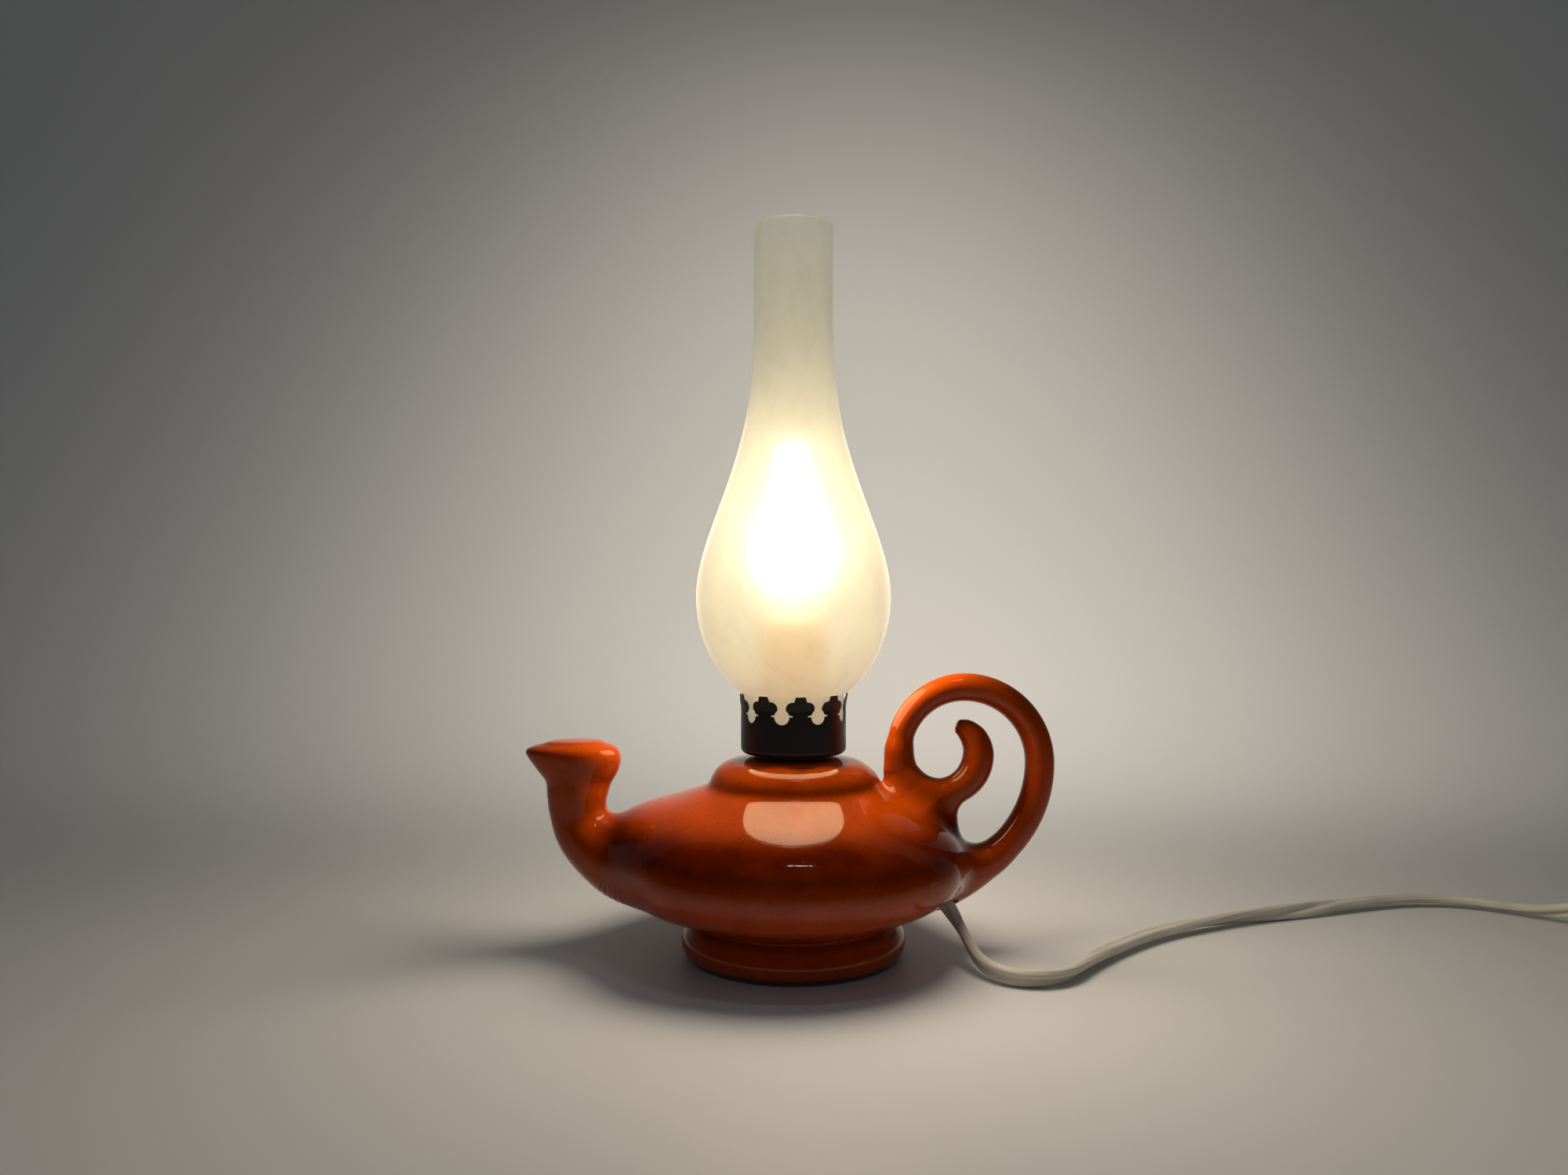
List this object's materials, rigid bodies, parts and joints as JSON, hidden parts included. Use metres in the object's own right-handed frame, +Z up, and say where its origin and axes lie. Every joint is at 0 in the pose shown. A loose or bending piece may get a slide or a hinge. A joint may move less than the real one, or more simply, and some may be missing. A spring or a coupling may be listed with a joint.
{
  "type": "table lamp",
  "caption": "Electric table lamp shaped like an oil lamp: glazed bowl with spout and scroll handle, crown gallery, frosted chimney, bulb, corded switch and plug.",
  "frame": {"origin": "on the lamp's upright axis, on the table under the felt pad", "axes": "+Z up, spout towards -X, scroll handle towards +X, seen in the picture along +Y"},
  "size_m": [0.5166, 0.2094, 0.2891],
  "materials": {
    "glaze": "glossy orange glaze",
    "felt": "pressed felt",
    "black_plastic": "moulded",
    "brass": "bright",
    "steel": "zinc plated",
    "black_metal": "semi-matt black",
    "frosted_glass": "etched inside and out",
    "holder_plastic": "moulded",
    "steatite": "unglazed",
    "bulb_glass": "clear",
    "filament": "glowing wire",
    "cord_pvc": "extruded, ivory grey",
    "switch_plastic": "moulded",
    "rocker_plastic": "moulded",
    "spring_steel": "bright",
    "plug_plastic": "moulded"
  },
  "bodies": {
    "lamp": {"ceramic_body": "glaze", "felt_pad": "felt", "cord_bush": "black_plastic", "threaded_tube": "brass", "tube_end_bush": "black_plastic", "lower_washer": "steel", "lock_washer": "spring_steel", "lower_locknut": "brass", "gallery_spacer": "black_plastic", "gallery": "black_metal", "gallery_nut": "brass", "holder_cap": "holder_plastic", "holder_grub_screw": "steel", "holder_shell": "holder_plastic", "holder_insert": "steatite", "holder_terminal_screws": "brass", "holder_centre_contact": "brass", "holder_screw_shell": "brass", "cord_inner": "cord_pvc", "cord_run": "cord_pvc", "cord_lead": "cord_pvc", "cord_coil": "cord_pvc", "cord_tail": "cord_pvc", "cord_tie": "black_plastic", "switch_lower_shell": "switch_plastic", "switch_upper_shell": "switch_plastic", "case_screws": "steel", "rocker_pin": "steel", "contact_pivot": "brass", "contact_fixed": "brass", "neutral_link": "brass", "switch_terminal_screws": "steel", "plug_body": "plug_plastic", "plug_pins": "brass", "plug_pin_sleeves": "black_plastic"},
    "chimney": {"chimney": "frosted_glass"},
    "bulb": {"bulb_tip_contact": "steel", "bulb_insulator": "black_plastic", "bulb_cap": "brass", "bulb_glass": "bulb_glass", "bulb_stem": "bulb_glass", "bulb_lead_wires": "steel", "bulb_filament": "filament"},
    "rocker": {"switch_rocker": "rocker_plastic", "rocker_plunger": "black_plastic", "plunger_spring": "spring_steel"},
    "bridge": {"contact_bridge": "brass"}
  },
  "joints": [
    {"name": "chimney_lift", "type": "slide", "parent": "lamp", "child": "chimney", "axis": [0, 0, 1], "range_m": [0, 0.13]},
    {"name": "bulb_withdraw", "type": "slide", "parent": "lamp", "child": "bulb", "axis": [0, 0, 1], "range_m": [0, 0.028]},
    {"name": "switch_rock", "type": "hinge", "parent": "lamp", "child": "rocker", "pos_m": [0.367, 0, 0.016], "axis": [0.7071, 0.7071, 0], "range_deg": [0, 18]},
    {"name": "contact_tip", "type": "hinge", "parent": "lamp", "child": "bridge", "pos_m": [0.367, 0, 0.0061], "axis": [0.7071, 0.7071, 0], "range_deg": [-12, 0]}
  ],
  "couplings": [
    {"joint": "contact_tip", "follows": "switch_rock", "ratio": -0.6666}
  ]
}
